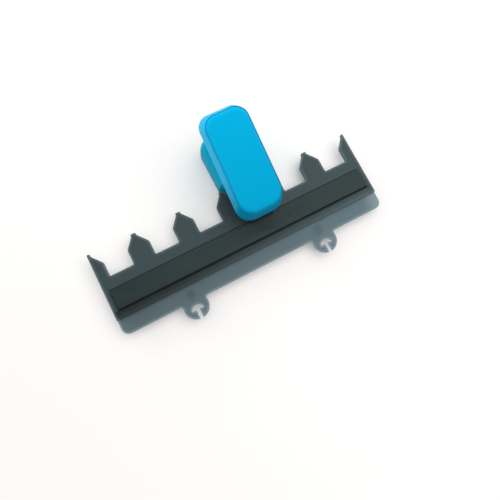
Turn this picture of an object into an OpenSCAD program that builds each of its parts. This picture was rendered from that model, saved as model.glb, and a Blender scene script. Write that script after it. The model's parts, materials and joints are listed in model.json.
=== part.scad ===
// Hand punch for disc-bound sheets, standing in its notched paper guide.
// Millimetres. X runs along the guide, Y runs to the rear, Z is up from the table.
// The origin is under the middle of the whole part, at table height.
// Inside the modules Y starts at the floor of the notches, and X at the middle of the piece's own unit.

/* [Guide plates] */
// Number of notches along the guide
notch_count = 6; // [4:2:10]
// Distance from one notch to the next
notch_pitch = 25.4; // [24:0.1:30]
// Notch that holds the punch, counted from the left
punch_notch = 4; // [1:1:4]
// Width of a notch
notch_w = 13.4; // [12.8:0.1:14.6]
// Length of a tooth, from the notch floor to its tip
tooth_len = 14.9; // [14.2:0.1:17]
// Distance from the notch floor to a tooth's shoulders
shoulder_y = 8; // [6:0.1:10]
// Width of a tooth's tip
tip_w = 2.7; // [2:0.1:4]
// Radius of a tooth's shoulders
shoulder_r = 2.4; // [1:0.1:4]
// Length of a tooth's straight tip
tip_len = 1.2; // [1:0.1:1.6]
// Radius where a tooth's slope runs into its tip
tip_neck_r = 1.4; // [0.5:0.1:1.6]
// Radius of a tooth's tip corners
tip_r = 0.4; // [0.2:0.05:0.6]
// Radius in the corners of the notch floor
notch_r = 0.8; // [0.3:0.1:1.5]
// Thickness of each clear plate
plate_t = 0.8; // [0.7:0.05:1.2]
// Height of the paper slot between the plates
slot_h = 0.6; // [0.4:0.05:0.8]
// Reach of the top plate in front of the notch floor
top_reach = 22.3; // [20:0.1:26]
// Reach of the base plate in front of the notch floor
base_reach = 30.7; // [29:0.1:36]
// Radius of the base plate's front corners
corner_r = 4; // [2:0.5:8]
// Radius of the top plate's front corners
top_corner_r = 0.5; // [0.3:0.1:2]
// Width of the raised ledges that join the plates at both ends
ledge_w = 2.6; // [1.5:0.1:3]
// Depth of the paper stops at the tooth tips
tip_stop = 0.9; // [0.6:0.1:1.4]
// Lead-in cut under the top plate's front edge
lead_in = 0.4; // [0.2:0.1:0.5]

/* [Cover strip] */
// Distance from the notch floor to the strip
strip_back = 6.9; // [6:0.1:8]
// Width of the strip
strip_w = 10.6; // [8:0.1:12]
// Distance from the strip's ends to the ends of the guide
strip_end = 3.2; // [2.9:0.1:6]
// Depth of the strip's recess in the top plate
recess_depth = 0.3; // [0.2:0.05:0.4]
// Height of the strip above the top plate
strip_rise = 1.6; // [1:0.1:2]
// Gap behind the strip and at its ends
strip_gap = 0.4; // [0.2:0.05:0.5]
// Gap in front of the strip
strip_front_gap = 0.7; // [0.4:0.05:1]
// Radius of the strip's corners
strip_r = 0.5; // [0.3:0.1:1.5]
// Diameter of the pins under the strip
strip_pin_d = 3; // [2:0.1:4]
// Gap round a pin in its hole
strip_pin_gap = 0.1; // [0.05:0.05:0.2]
// Distance of the inner pair of pins from the middle
strip_pin_in = 26; // [15:1:35]
// Distance of the outer pair of pins from the ends of the guide
strip_pin_out = 10.2; // [6:0.1:20]

/* [Disc tabs] */
// Distance of each tab from the middle, in notch pitches
tab_pitches = 1.5; // [0.5:1:1.5]
// Radius of a tab
tab_r = 6.75; // [6:0.05:8]
// Distance from the base plate's front edge to the tab's centre
tab_out = 2.7; // [2:0.1:4]
// Fillet where a tab joins the plate
tab_fillet = 1.2; // [0.5:0.1:1.5]
// Width of the tab's mushroom slot
tab_cap_w = 6.9; // [6:0.1:7.6]
// Depth of the slot's wide part
tab_cap_depth = 2.6; // [2:0.1:3]
// Distance from the base plate's front edge to the slot
tab_cap_out = 2; // [1.5:0.1:2.5]
// Width of the slit from the slot to the tab's edge
tab_slit_w = 1.7; // [1.2:0.1:2.2]

/* [Feet] */
// Height of the guide's feet
foot_h = 5; // [4.6:0.1:6]
// Diameter of a foot
foot_d = 5; // [4:0.5:8]
// Height of the slope at a foot's lower edge
foot_taper = 0.4; // [0.2:0.1:0.8]
// Distance from the base plate's front edge to the front feet
foot_front = 4.2; // [4:0.1:5]
// Thickness of the pads under the housing
pad_t = 0.6; // [0.4:0.1:0.8]
// Width of a pad
pad_w = 2; // [1.5:0.1:2.2]

/* [Cutter] */
// Distance from the notch floor to the cut hole
cap_y = 7.6; // [7:0.1:8.2]
// Width of the cut hole
cap_w = 6.2; // [5.5:0.1:6.6]
// Depth of the hole's wide part
cap_depth = 2.8; // [2.2:0.1:3]
// Width of the slit from the hole to the sheet's edge
slit_w = 2.2; // [1.6:0.1:2.6]
// Overrun of the cutter past the sheet's edge
over_cut = 0.5; // [0.3:0.05:0.6]
// Overrun of the cutter below the die when pressed
cut_past = 0.6; // [0.4:0.1:0.7]
// Clearance of the cutter in its guide
guide_gap = 0.05; // [0.03:0.01:0.1]
// Diameter of the drive pin
drive_d = 2.5; // [2:0.1:3]
// Distance from the cut hole's edge to the drive pin
drive_back = 2.4; // [2:0.1:3]
// Length and width of the cutter's head
head_w = 8; // [7:0.1:8.2]
// Height of the head above the drive pin's axis
head_up = 2.6; // [2.2:0.1:2.8]
// Height of the head below the drive pin's axis
head_down = 2.4; // [2.2:0.1:2.8]
// Thickness of the spring flange under the head
flange_t = 1; // [0.8:0.1:1.2]
// Reach of the spring flange past the spring
flange_over = 0.2; // [0.1:0.05:0.3]

/* [Return spring] */
// Wire diameter of the spring
wire_d = 0.8; // [0.6:0.05:0.9]
// Inner diameter of the spring
coil_in = 8; // [7.8:0.1:8.6]
// Number of turns
coil_turns = 4; // [3:1:5]

/* [Punch frame] */
// Gap between the jaws and the notch on each side
jaw_gap = 0.25; // [0.2:0.05:0.4]
// Gap between the nose and the notch floor
nose_gap = 0.35; // [0.3:0.05:0.6]
// Thickness of the die plate
die_t = 1.8; // [1.4:0.1:2]
// Drop of the die below the base plate's top
die_drop = 0.1; // [0:0.05:0.2]
// Length of the die seated in the frame's groove
die_seat = 1.6; // [1:0.1:2]
// Length of the solid nose in front of the chip opening
nose_len = 4.2; // [4:0.1:4.6]
// Width of each lower rail
rail_w = 1.4; // [1:0.1:1.6]
// Gap between the upper jaw and the cover strip
strip_clear = 0.6; // [0.4:0.1:1]
// Thickness of the upper jaw over the strip
jaw_t = 4.6; // [4.4:0.1:7]
// Clearance from the sheet's edge to the back of the throat
throat_clear = 0.6; // [0.6:0.05:0.8]
// Thickness of the column behind the throat
column_t = 3.7; // [3.2:0.1:5]
// Length of the tang inside the housing
tang_len = 14.7; // [12:0.1:18]
// Width of the tang
tang_w = 16; // [12:0.1:18]

/* [Lever] */
// Angle of the lever above level at rest
open_angle = 17; // [15:0.5:18]
// Angle of the lever below level when pressed
press_angle = 7; // [5:0.5:7.5]
// Distance of the pivot in front of the notch floor
pivot_out = 3; // [2.8:0.1:3.5]
// Height of the pivot above the upper jaw
pivot_rise = 8.4; // [8:0.1:9.5]
// Diameter of the pivot pin
pivot_d = 4; // [3:0.1:4.4]
// Radius of the frame's pivot ears
ear_r = 3.4; // [3:0.1:3.6]
// Thickness of each ear
ear_t = 2; // [1.6:0.1:2.4]
// Height of the lever's top above the pivot
top_rise = 8.8; // [8.8:0.1:10]
// Height of the lever from rim to top
lever_h = 9.8; // [9.4:0.1:10.2]
// Reach of the lever's rim in front of the pivot
lever_front = 6.4; // [6.3:0.1:8]
// Reach of the lever's rim behind the pivot
lever_rear = 47; // [44:0.1:50]
// Width of the rim at the front
rim_front_w = 25.8; // [24.6:0.1:28]
// Width of the rim at the rear
rim_rear_w = 25; // [24:0.1:27]
// Draft of each side wall, from rim to top
side_draft = 1.4; // [0.6:0.1:1.6]
// Lean of the front wall, from rim to top
front_lean = 3.1; // [2:0.1:3.4]
// Lean of the rear wall, from rim to top
rear_lean = 1; // [0.5:0.1:2]
// Corner radius of the lever
lever_r = 6.5; // [5:0.1:7]
// Wall thickness of the lever shell
shell_t = 1.8; // [1.5:0.1:2]
// Thickness of the shell's top
shell_top_t = 2.8; // [2.6:0.1:3]
// Height of the cap above the shell
cap_rise = 0.6; // [0.4:0.1:0.8]
// Depth of the cap's seat in the shell
cap_sink = 0.9; // [0.7:0.1:1]
// Width of the shell's edge round the cap
cap_inset = 0.5; // [0.4:0.1:1]
// Gap round the cap in its seat
cap_gap = 0.15; // [0.1:0.05:0.2]
// Height of the sloped edge of the cap
cap_edge = 0.4; // [0.2:0.1:0.5]
// Sheet thickness of the lever core
core_t = 1.2; // [1:0.1:1.4]
// Length of the lever core behind the pivot
core_len = 33; // [32:0.1:36]
// Gap between the core's cheeks and the frame
cheek_gap = 0.75; // [0.6:0.05:0.9]
// Clearance of the drive pin across its slots
slot_clear = 0.15; // [0.12:0.01:0.2]
// Gap under the lever's front rim at rest
rim_clear = 0.3; // [0.25:0.05:0.4]
// Distance from the rim's front edge to the frame's stop
stop_inset = 1; // [0.8:0.1:1.4]

/* [Housing and tray] */
// Width of the housing
housing_w = 25.4; // [24.8:0.1:27]
// Height of the housing's top above the table
housing_h = 15.5; // [15:0.1:16]
// Height of the rounded part of the housing's sides
dome_h = 11; // [4:0.5:12]
// Width of the rounded part of the housing's sides
dome_w = 4.6; // [2:0.1:5]
// Reach of the housing's cheeks into the mouth of the notch
prow_len = 3.5; // [2:0.1:3.6]
// Distance the cheeks draw in towards their front
prow_in = 3.2; // [3:0.1:4]
// Wall thickness of the housing
wall_t = 1.8; // [1.5:0.1:2.2]
// Thickness of the housing's deck
deck_t = 2.2; // [1.8:0.1:3]
// Radius of the housing's rear corners
housing_r = 7; // [5:0.1:7.5]
// Gap between the deck and the pressed core
stop_gap = 0.3; // [0.25:0.05:0.5]
// Overhang of the housing behind the pressed lever
rear_over = 0.7; // [0.5:0.1:2]
// Width of the chip tray
tray_w = 19; // [17:0.1:19.2]
// Height of the chip tray
tray_h = 4.5; // [4:0.1:5]
// Thickness of the tray's floor and of the walls under the die
tray_t = 0.8; // [0.7:0.05:0.9]
// Thickness of the tray's side walls
tray_side_t = 1; // [0.8:0.1:1.2]
// Thickness of the tray's front at the housing's rear
tray_end_t = 1.6; // [1.2:0.1:2]
// Height of the tray above the table
tray_lift = 0.7; // [0.6:0.05:0.75]
// Clearance of the tray under the pressed cutter
tip_clear = 0.3; // [0.25:0.05:0.5]
// Sliding gap round the tray
slide_gap = 0.2; // [0.15:0.05:0.25]
// Reach of the tray's runners into the housing
runner_w = 1; // [0.8:0.1:1.1]
// Thickness of the runners
runner_t = 0.8; // [0.6:0.1:1]
// Radius of the finger arch over the tray
arch_r = 5; // [4:0.1:6]

/* [Fasteners] */
// Diameter of the deck screws
deck_screw_d = 3; // [2.5:0.1:3.5]
// Depth of the deck screws in the tang
deck_screw_depth = 7; // [5:0.5:7.5]
// Distance of the deck screws from the tang's ends
deck_screw_inset = 3.7; // [3.4:0.1:4.5]
// Diameter of the core screws
core_screw_d = 2.2; // [2:0.1:2.5]
// Distance of the rear core screw from the core's end
core_screw_inset = 3; // [2.5:0.1:4]
// Distance between the core screws
core_screw_gap = 8; // [6:0.5:10]
// Plastic left over the core screws
screw_skin = 0.3; // [0.2:0.05:0.5]
// Diameter of the die screws
die_screw_d = 2; // [1.6:0.1:2.2]
// Depth of the die screws in the frame
die_screw_bite = 2; // [1.5:0.1:2.2]
// Width of the die screws' driver slot
driver_w = 0.4; // [0.3:0.05:0.5]
// Depth of the die screws' driver slot
driver_depth = 0.5; // [0.4:0.05:0.6]
// Clearance round screws and fixed pins
fit_gap = 0.03; // [0.02:0.01:0.05]
// Running clearance of the pivot
run_gap = 0.05; // [0.02:0.01:0.08]
// Thickness of the retaining rings
ring_t = 0.6; // [0.5:0.05:0.7]
// Width of the retaining rings outside their pin
ring_w = 0.7; // [0.5:0.05:0.8]
// Gap between a ring and the core's cheek
ring_gap = 0.1; // [0.08:0.01:0.15]
// Length of a pin outside its rings
pin_end = 0.4; // [0.3:0.05:0.6]
// Depth of the rings' grooves
groove_depth = 0.35; // [0.25:0.05:0.4]
// Gap round a ring in its groove
groove_gap = 0.05; // [0.03:0.01:0.08]

/* [Hidden] */
$fn = 48;

// Small overlap that carries a cut through a face
eps = 0.1;
// Thickness of the slices that a lofted wall is drawn between
slice = 0.01;

// Colours
clear_grey = "#52636A";
strip_grey = "#39454A";
punch_blue = "#009FD3";
body_blue = "#0089B4";
steel = "#B9BDC0";
cast_black = "#2E3133";
soft_black = "#2B2D2F";
tray_grey = "#4A4F53";

// Heights of the guide
guide_half = notch_count * notch_pitch / 2;
base_top = foot_h + plate_t;
slot_top = base_top + slot_h;
top_top = slot_top + plate_t;
strip_low = top_top - recess_depth;
strip_top = top_top + strip_rise;
tooth_half = (notch_pitch - notch_w) / 2;
tab_x = tab_pitches * notch_pitch;
tab_y = -base_reach - tab_out;
strip_half = guide_half - strip_end;
sheet_edge = tooth_len - tip_stop;

// Places of the feet: front pair under the tabs' roots, side pair at the ends, rear pair under teeth
foot_places = [
  [tab_x, foot_front - base_reach],
  [guide_half - strip_pin_out, -strip_back - strip_w / 2],
  [2 * notch_pitch, shoulder_y / 2]
];

// Jaws of the punch
punch_x = (punch_notch - (notch_count + 1) / 2) * notch_pitch;
jaw_half = notch_w / 2 - jaw_gap;
die_top = base_top - die_drop;
die_low = die_top - die_t;
over_strip = strip_top + strip_clear;
jaw_top = over_strip + jaw_t;
throat_back = sheet_edge + throat_clear;
column_back = throat_back + column_t;
die_back = throat_back + die_seat;
die_screw_len = die_t + die_screw_bite;
tang_back = column_back + tang_len;
chip_front = nose_gap + nose_len;
tunnel_half = jaw_half - rail_w;

// Lever in its level pose, before it is turned up to rest
pivot_y = -pivot_out;
pivot_z = jaw_top + pivot_rise;
lever_top = pivot_z + top_rise;
rim_z = lever_top - lever_h;
shell_top = lever_top - cap_rise;
web_top = shell_top - shell_top_t;
web_low = web_top - core_t;
rim_front = pivot_y - lever_front;
rim_rear = pivot_y + lever_rear;
cheek_low = pivot_z
  + (housing_h + stop_gap - pivot_z + core_len * sin(press_angle)) / cos(press_angle);
cheek_in = jaw_half + cheek_gap;
cheek_out = cheek_in + core_t;
ring_x = cheek_out + ring_gap;
pin_half = ring_x + ring_t + pin_end;
core_front = pivot_y - ear_r;
core_back = pivot_y + core_len;
core_screw_bite = shell_top_t - cap_sink - screw_skin;

// Cutter, drawn at rest
drive_y = cap_y + drive_back;
drive_arm = drive_y - pivot_y;
stroke = drive_arm * (tan(open_angle) + tan(press_angle));
drive_z = pivot_z + drive_arm * tan(open_angle);
tip_z = die_low - cut_past + stroke;
slit_end = sheet_edge + over_cut;
flange_low = drive_z - head_down;
coil_y = (cap_y + slit_end) / 2;
coil_r = (coil_in + wire_d) / 2;
flange_r = coil_r + wire_d / 2 + flange_over;
drive_slot_len = drive_arm / cos(open_angle) - drive_arm;

// Housing and tray
housing_front = column_back - wall_t;
housing_rear = rim_rear + rear_over;
tray_top = tray_lift + tray_h;
tray_front = column_back + slide_gap;
tongue_half = tunnel_half - slide_gap;
tongue_top = die_low - cut_past - tip_clear;
channel_half = tray_w / 2 + slide_gap;
channel_top = tray_top + slide_gap;
runner_z = tray_lift + tray_h / 3;
tang_low = channel_top + slide_gap;
deck_low = housing_h - deck_t;

// Middle of the whole part, from the tabs to the housing's rear
mid_y = (housing_rear + tab_y - tab_r) / 2;

swing = open_angle + press_angle;
echo(stroke_mm = stroke, ratio_mm_per_rad = stroke / (swing * PI / 180));
echo(pivot = [punch_x, pivot_y - mid_y, pivot_z], mid_y = mid_y, top_of_plate = top_top);
echo(spring_low = jaw_top, drive_z = drive_z, tip_z = tip_z);

// Helpers
function unit(v) = v / norm(v);
function turn(a, b) = (b - a + 540) % 360 - 180;
function between(a, b, t) = a + (b - a) * t;

// Arc that rounds the corner at b between a and c
function rounded(a, b, c, r, n = 8) =
  let (
    u = unit(a - b),
    v = unit(c - b),
    half = acos(u * v) / 2,
    centre = b + unit(u + v) * r / sin(half),
    p = b + u * r / tan(half) - centre,
    q = b + v * r / tan(half) - centre,
    start = atan2(p.y, p.x),
    sweep = turn(start, atan2(q.y, q.x))
  )
  [for (i = [0:n]) centre + r * [cos(start + sweep * i / n), sin(start + sweep * i / n)]];

// Box between two limits on each axis
module span(x, y, z) {
  translate([x[0], y[0], z[0]])
    cube([x[1] - x[0], y[1] - y[0], z[1] - z[0]]);
}

// Rectangle with round corners between two limits on each axis
module round_rect(x, y, r) {
  translate([x[0] + r, y[0]])
    square([x[1] - x[0] - 2 * r, y[1] - y[0]]);
  translate([x[0], y[0] + r])
    square([x[1] - x[0], y[1] - y[0] - 2 * r]);
  for (cx = [x[0] + r, x[1] - r], cy = [y[0] + r, y[1] - r])
    translate([cx, cy])
      circle(r);
}

// Cylinder along X, centred at the given Y and Z
module cross_pin(d, x0, x1, y, z) {
  translate([x0, y, z])
    rotate([0, 90, 0])
      cylinder(d = d, h = x1 - x0);
}

module both_sides() {
  children();
  mirror([1, 0, 0])
    children();
}

module in_guide() {
  translate([0, -mid_y, 0])
    children();
}

module in_punch() {
  translate([punch_x, -mid_y, 0])
    children();
}

module in_lever() {
  in_punch()
    translate([0, pivot_y, pivot_z])
      rotate([open_angle, 0, 0])
        translate([0, -pivot_y, -pivot_z])
          children();
}

// Mushroom outline: wide part from y = 0, slit on to the given length
module mushroom(w, depth, slit, length, grow = 0) {
  intersection() {
    translate([0, w / 2])
      circle(w / 2 + grow);
    translate([-w, -w])
      square([2 * w, w + depth + grow]);
  }
  translate([-slit / 2 - grow, depth / 2])
    square([slit + 2 * grow, length - depth / 2 + grow]);
}

// Pan-head screw, pointing down from the underside of its head at z = 0
module pan_screw(d, length) {
  head_d = 1.8 * d;
  head_h = 0.6 * d;
  slot = 0.28 * d;
  translate([0, 0, -length])
    cylinder(d = d, h = length);
  difference() {
    cylinder(d = head_d, h = head_h);
    for (a = [0, 90])
      rotate([0, 0, a])
        span([-d / 2, d / 2], [-slot / 2, slot / 2], [head_h / 2, head_h + eps]);
  }
}

// Countersunk screw, with its flat top at z = 0
module flat_screw(d, length, grow = 0) {
  translate([0, 0, -length])
    cylinder(d = d + 2 * grow, h = length);
  translate([0, 0, -d / 2])
    cylinder(d1 = d + 2 * grow, d2 = 2 * d + 2 * grow, h = d / 2);
}

// Retaining ring round a pin along X, open at the bottom
module retaining_ring(d, y, z) {
  x0 = ring_x;
  x1 = ring_x + ring_t;
  difference() {
    cross_pin(d + 2 * ring_w, x0, x1, y, z);
    cross_pin(d - 2 * groove_depth + 2 * groove_gap, x0 - eps, x1 + eps, y, z);
    span([x0 - eps, x1 + eps], [y - d / 4, y + d / 4], [z - d / 2 - ring_w - eps, z]);
  }
}

// Pin along X with a groove for a ring near each end
module grooved_pin(d, y, z) {
  x0 = ring_x;
  x1 = ring_x + ring_t;
  difference() {
    cross_pin(d, -pin_half, pin_half, y, z);
    both_sides()
      difference() {
        cross_pin(d + 2 * eps, x0 - groove_gap, x1 + groove_gap, y, z);
        cross_pin(d - 2 * groove_depth, x0 - ring_t, pin_half, y, z);
      }
  }
}

// Guide

// Body of a plate with all its teeth
module guide_outline(reach, r) {
  wide = notch_pitch / 2;
  root = [tooth_half, 0];
  shoulder = [tooth_half, shoulder_y];
  neck = [tip_w / 2, tooth_len - tip_len];
  tip = [tip_w / 2, tooth_len];
  side = [
    each rounded([wide, 0], root, shoulder, notch_r),
    each rounded(root, shoulder, neck, shoulder_r),
    each rounded(shoulder, neck, tip, tip_neck_r),
    each rounded(neck, tip, [0, tooth_len], tip_r)
  ];
  other = [for (i = [len(side) - 1:-1:0]) [-side[i].x, side[i].y]];
  foot = [[-wide, 0], [-wide, -notch_r], [wide, -notch_r], [wide, 0]];
  round_rect([-guide_half, guide_half], [-reach, -r], r);
  intersection() {
    union() {
      translate([-guide_half, -reach + r])
        square([2 * guide_half, reach - r]);
      for (i = [0:notch_count])
        translate([(i - notch_count / 2) * notch_pitch, 0])
          polygon(concat(foot, side, other));
    }
    translate([-guide_half, -reach])
      square([2 * guide_half, reach + tooth_len]);
  }
}

// Tab with its root fillets
module tab_outline() {
  root_half = sqrt(pow(tab_r + tab_fillet, 2) - pow(tab_out - tab_fillet, 2));
  circle(tab_r);
  difference() {
    translate([-root_half, 0])
      square([2 * root_half, tab_out + eps]);
    for (s = [-1, 1])
      translate([s * root_half, tab_out - tab_fillet])
        circle(tab_fillet);
    for (s = [-1, 1])
      translate([s * root_half - tab_fillet, -eps])
        square([2 * tab_fillet, tab_out - tab_fillet + eps]);
  }
}

module tab_slot() {
  translate([0, tab_out - tab_cap_out])
    mirror([0, 1])
      mushroom(tab_cap_w, tab_cap_depth, tab_slit_w, tab_r + tab_out);
}

module base_plate() {
  color(clear_grey)
    in_guide()
      translate([0, 0, foot_h])
        linear_extrude(plate_t)
          difference() {
            union() {
              guide_outline(base_reach, corner_r);
              for (s = [-1, 1])
                translate([s * tab_x, tab_y])
                  tab_outline();
            }
            for (s = [-1, 1])
              translate([s * tab_x, tab_y])
                tab_slot();
          }
}

// Ledges at both ends and paper stops at the tooth tips, which hold the plates apart
module slot_spacers() {
  color(clear_grey)
    in_guide()
      translate([0, 0, base_top])
        linear_extrude(slot_h)
          intersection() {
            guide_outline(top_reach, top_corner_r);
            union() {
              translate([-guide_half, sheet_edge])
                square([2 * guide_half, tip_stop]);
              for (x = [-guide_half, guide_half - ledge_w])
                translate([x, -top_reach])
                  square([ledge_w, top_reach]);
            }
          }
}

// Places of the strip's pins
module at_strip_pins() {
  for (x = [strip_pin_in, guide_half - strip_pin_out], s = [-1, 1])
    translate([s * x, -strip_back - strip_w / 2, 0])
      children();
}

module top_plate() {
  color(clear_grey)
    in_guide()
      difference() {
        translate([0, 0, slot_top])
          linear_extrude(plate_t)
            guide_outline(top_reach, top_corner_r);
        span(
          [-strip_half - strip_gap, strip_half + strip_gap],
          [-strip_back - strip_w - strip_front_gap, -strip_back + strip_gap],
          [strip_low, top_top + eps]
        );
        at_strip_pins()
          translate([0, 0, slot_top - eps])
            cylinder(d = strip_pin_d + 2 * strip_pin_gap, h = plate_t + 2 * eps);
        rotate([90, 0, 90])
          translate([-top_reach, slot_top, -guide_half + ledge_w])
            linear_extrude(2 * (guide_half - ledge_w))
              polygon([[-eps, -eps], [2 * lead_in, -eps], [2 * lead_in, 0], [0, lead_in], [-eps, lead_in]]);
      }
}

module cover_strip() {
  color(strip_grey)
    in_guide() {
      translate([0, 0, strip_low])
        linear_extrude(strip_top - strip_low)
          round_rect([-strip_half, strip_half], [-strip_back - strip_w, -strip_back], strip_r);
      at_strip_pins()
        translate([0, 0, slot_top])
          cylinder(d = strip_pin_d, h = strip_low - slot_top + eps);
    }
}

module guide_feet() {
  color(soft_black)
    in_guide()
      for (p = foot_places, s = [-1, 1])
        translate([s * p.x, p.y, 0]) {
          cylinder(d1 = foot_d - 2 * foot_taper, d2 = foot_d, h = foot_taper);
          translate([0, 0, foot_taper])
            cylinder(d = foot_d, h = foot_h - foot_taper);
        }
}

// Punch

// Cutter section at its place in the jaws
module cutter_section(grow = 0) {
  translate([0, cap_y])
    mushroom(cap_w, cap_depth, slit_w, slit_end - cap_y, grow);
}

module at_die_screws() {
  both_sides()
    translate([tunnel_half - die_screw_d, nose_gap + nose_len / 2, die_top])
      children();
}

// Stop under the lever's front rim at rest
module front_stop() {
  reach_low = [-lever_front, rim_z - pivot_z];
  stop_top = pivot_z + reach_low.x * sin(open_angle) + reach_low.y * cos(open_angle) - rim_clear;
  span([-jaw_half, jaw_half], [rim_front + stop_inset, core_front], [over_strip, stop_top]);
}

module punch_frame() {
  color(cast_black)
    in_punch()
      difference() {
        union() {
          span([-jaw_half, jaw_half], [nose_gap, column_back], [0, jaw_top]);
          span([-jaw_half, jaw_half], [core_front, nose_gap + eps], [over_strip, jaw_top]);
          span([-tang_w / 2, tang_w / 2], [column_back, tang_back], [tang_low, deck_low]);
          span([-jaw_half, jaw_half], [column_back - eps, column_back + eps], [tang_low, jaw_top]);
          front_stop();
          both_sides() {
            span([jaw_half - ear_t, jaw_half], [core_front, pivot_y + ear_r], [over_strip, pivot_z]);
            cross_pin(2 * ear_r, jaw_half - ear_t, jaw_half, pivot_y, pivot_z);
          }
        }
        span([-jaw_half - eps, jaw_half + eps], [nose_gap - eps, throat_back], [die_low, slot_top]);
        span(
          [-jaw_half - eps, jaw_half + eps],
          [throat_back - eps, die_back + fit_gap],
          [die_low, die_top + fit_gap]
        );
        span([-tunnel_half, tunnel_half], [chip_front, column_back + eps], [-eps, die_low + eps]);
        translate([0, 0, slot_top - eps])
          linear_extrude(jaw_top - slot_top + 2 * eps)
            cutter_section(guide_gap);
        cross_pin(pivot_d + 2 * fit_gap, -jaw_half - eps, jaw_half + eps, pivot_y, pivot_z);
        at_die_screws()
          translate([0, 0, -die_screw_len - fit_gap])
            cylinder(d = die_screw_d + 2 * fit_gap, h = die_screw_len);
        at_deck_screws()
          translate([0, 0, -deck_t - deck_screw_depth])
            cylinder(d = deck_screw_d + 2 * fit_gap, h = deck_screw_depth + eps);
      }
}

module die_plate() {
  color(steel)
    in_punch()
      difference() {
        span([-jaw_half, jaw_half], [nose_gap, die_back], [die_low, die_top]);
        translate([0, 0, die_low - eps])
          linear_extrude(die_t + 2 * eps)
            cutter_section(guide_gap);
        at_die_screws()
          flat_screw(die_screw_d, die_screw_len, fit_gap);
      }
}

module die_screws() {
  color(steel)
    in_punch()
      at_die_screws()
        difference() {
          flat_screw(die_screw_d, die_screw_len);
          span([-die_screw_d / 2, die_screw_d / 2], [-driver_w / 2, driver_w / 2], [-driver_depth, eps]);
        }
}

module pivot_pin() {
  color(steel)
    in_punch()
      grooved_pin(pivot_d, pivot_y, pivot_z);
}

module pivot_clips() {
  color(steel)
    in_punch()
      both_sides()
        retaining_ring(pivot_d, pivot_y, pivot_z);
}

// Coil spring as one tube along a helix
coil_rings = 8;
coil_sides = 6;
coil_count = coil_turns * coil_rings;
coil_seat = 0.02;
coil_height = flange_low - jaw_top - wire_d - 2 * coil_seat;

function coil_point(i) =
  let (a = 360 * i / coil_rings)
  [coil_r * cos(a), coil_r * sin(a), coil_height * i / coil_count];

function coil_ring(i) =
  let (a = 360 * i / coil_rings, out = [cos(a), sin(a), 0])
  [for (k = [0:coil_sides - 1])
    let (b = 360 * k / coil_sides)
    coil_point(i) + wire_d / 2 * (cos(b) * out + [0, 0, sin(b)])];

function coil_wall(i) =
  [for (k = [0:coil_sides - 1])
    let (
      a = i * coil_sides + k,
      b = i * coil_sides + (k + 1) % coil_sides,
      c = a + coil_sides,
      d = b + coil_sides
    )
    each [[a, b, c], [b, d, c]]];

function coil_end(first, flip) =
  [for (k = [1:coil_sides - 2])
    flip ? [first, first + k + 1, first + k] : [first, first + k, first + k + 1]];

coil_self_gap = min([for (i = [0:coil_count], j = [0:coil_count])
  if (j - i >= coil_rings / 2) norm(coil_point(i) - coil_point(j))]) - wire_d;
echo(spring_self_gap = coil_self_gap);

module return_spring() {
  points = [for (i = [0:coil_count]) each coil_ring(i)];
  walls = [for (i = [0:coil_count - 1]) each coil_wall(i)];
  ends = concat(coil_end(0, true), coil_end(coil_count * coil_sides, false));
  color(steel)
    in_punch()
      translate([0, coil_y, jaw_top + wire_d / 2 + coil_seat])
        polyhedron(points, concat(walls, ends));
}

// Outline of the housing, with two round rear corners
module housing_outline(inset = 0) {
  half = housing_w / 2 - inset;
  difference() {
    round_rect([-half, half], [housing_front - housing_r, housing_rear - inset], housing_r - inset);
    translate([-housing_w, housing_front - 2 * housing_r])
      square([2 * housing_w, 2 * housing_r + inset]);
  }
}

// Solid with the housing's rounded sides, between two heights, drawn in by an inset
module housing_block(low, high, inset, prow = 0) {
  steps = 6;
  start = asin(max(0, (low - housing_h + dome_h) / dome_h));
  stop = asin((high - housing_h + dome_h) / dome_h);
  front = housing_front + inset;
  hull() {
    housing_slice(low, front, inset + dome_w * (1 - cos(start)), prow);
    for (i = [0:steps]) {
      a = between(start, stop, i / steps);
      z = housing_h - dome_h + dome_h * sin(a);
      if (z > low && z <= high + slice)
        housing_slice(z - slice, front, inset + dome_w * (1 - cos(a)), prow);
    }
  }
}

// Thin slice of the housing: a tapered prow in front, round corners at the rear
module housing_slice(z, front, inset, prow) {
  half = housing_w / 2 - inset;
  rear = housing_rear - inset;
  r = housing_r - min(inset, housing_r / 2);
  translate([-half, front, z])
    cube([2 * half, wall_t, slice]);
  if (prow > 0)
    translate([prow_in - half, front - prow, z])
      cube([2 * (half - prow_in), prow, slice]);
  for (s = [-1, 1])
    translate([s * (half - r), rear - r, z])
      cylinder(r = r, h = slice, $fn = 32);
}

module at_deck_screws() {
  for (y = [column_back + deck_screw_inset, tang_back - deck_screw_inset])
    translate([0, y, housing_h])
      children();
}

module base_housing() {
  color(body_blue)
    in_punch()
      difference() {
        housing_block(pad_t, housing_h, 0, prow_len);
        span([-channel_half, channel_half], [column_back, housing_rear + eps], [pad_t - eps, channel_top]);
        housing_block(channel_top - eps, deck_low, wall_t);
        both_sides()
          span(
            [channel_half - eps, channel_half + runner_w],
            [column_back, housing_rear + eps],
            [runner_z - slide_gap, runner_z + runner_t + slide_gap]
          );
        span(
          [-jaw_half - slide_gap, jaw_half + slide_gap],
          [housing_front - eps, column_back + eps],
          [pad_t - eps, jaw_top + slide_gap]
        );
        span(
          [-jaw_half - slide_gap, jaw_half + slide_gap],
          [housing_front - prow_len - eps, housing_front],
          [pad_t - eps, housing_h + eps]
        );
        translate([0, housing_rear + eps, channel_top])
          rotate([90, 0, 0])
            cylinder(r = arch_r, h = wall_t + housing_r);
        at_deck_screws()
          translate([0, 0, -deck_t - eps])
            cylinder(d = deck_screw_d + 2 * fit_gap, h = deck_t + 2 * eps);
      }
}

module deck_screws() {
  color(steel)
    in_punch()
      at_deck_screws()
        pan_screw(deck_screw_d, deck_t + deck_screw_depth);
}

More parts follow.
